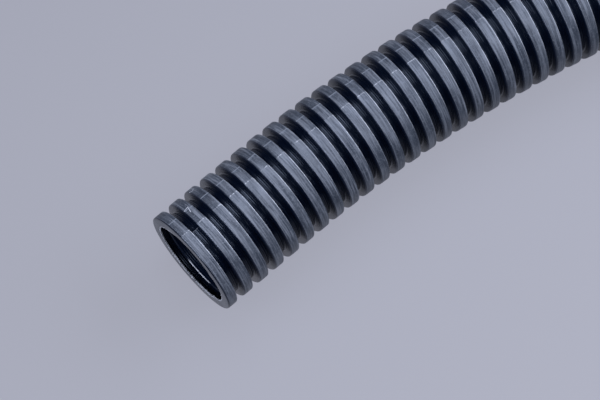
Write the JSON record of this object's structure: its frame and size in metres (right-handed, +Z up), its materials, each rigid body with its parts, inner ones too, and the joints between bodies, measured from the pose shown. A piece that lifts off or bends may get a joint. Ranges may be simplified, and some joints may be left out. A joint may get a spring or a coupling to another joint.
{
  "type": "corrugated conduit",
  "caption": "Cut length of corrugated plastic electrical conduit with square crests and an open bore, lying in a level bend, for housing cables.",
  "frame": {"origin": "centre of the first cut end, on the tube's axis, one outer radius above the floor it lies on", "axes": "+X along the tube's axis into the tube from the first cut end; the tube bends towards -Y in the level plane and its second end faces -Y; +Z up"},
  "size_m": [0.4122, 0.7744, 0.0286],
  "materials": {
    "conduit_plastic": "semi-gloss dark blue-grey moulded plastic"
  },
  "bodies": {
    "root": {"conduit": "conduit_plastic"}
  },
  "joints": []
}
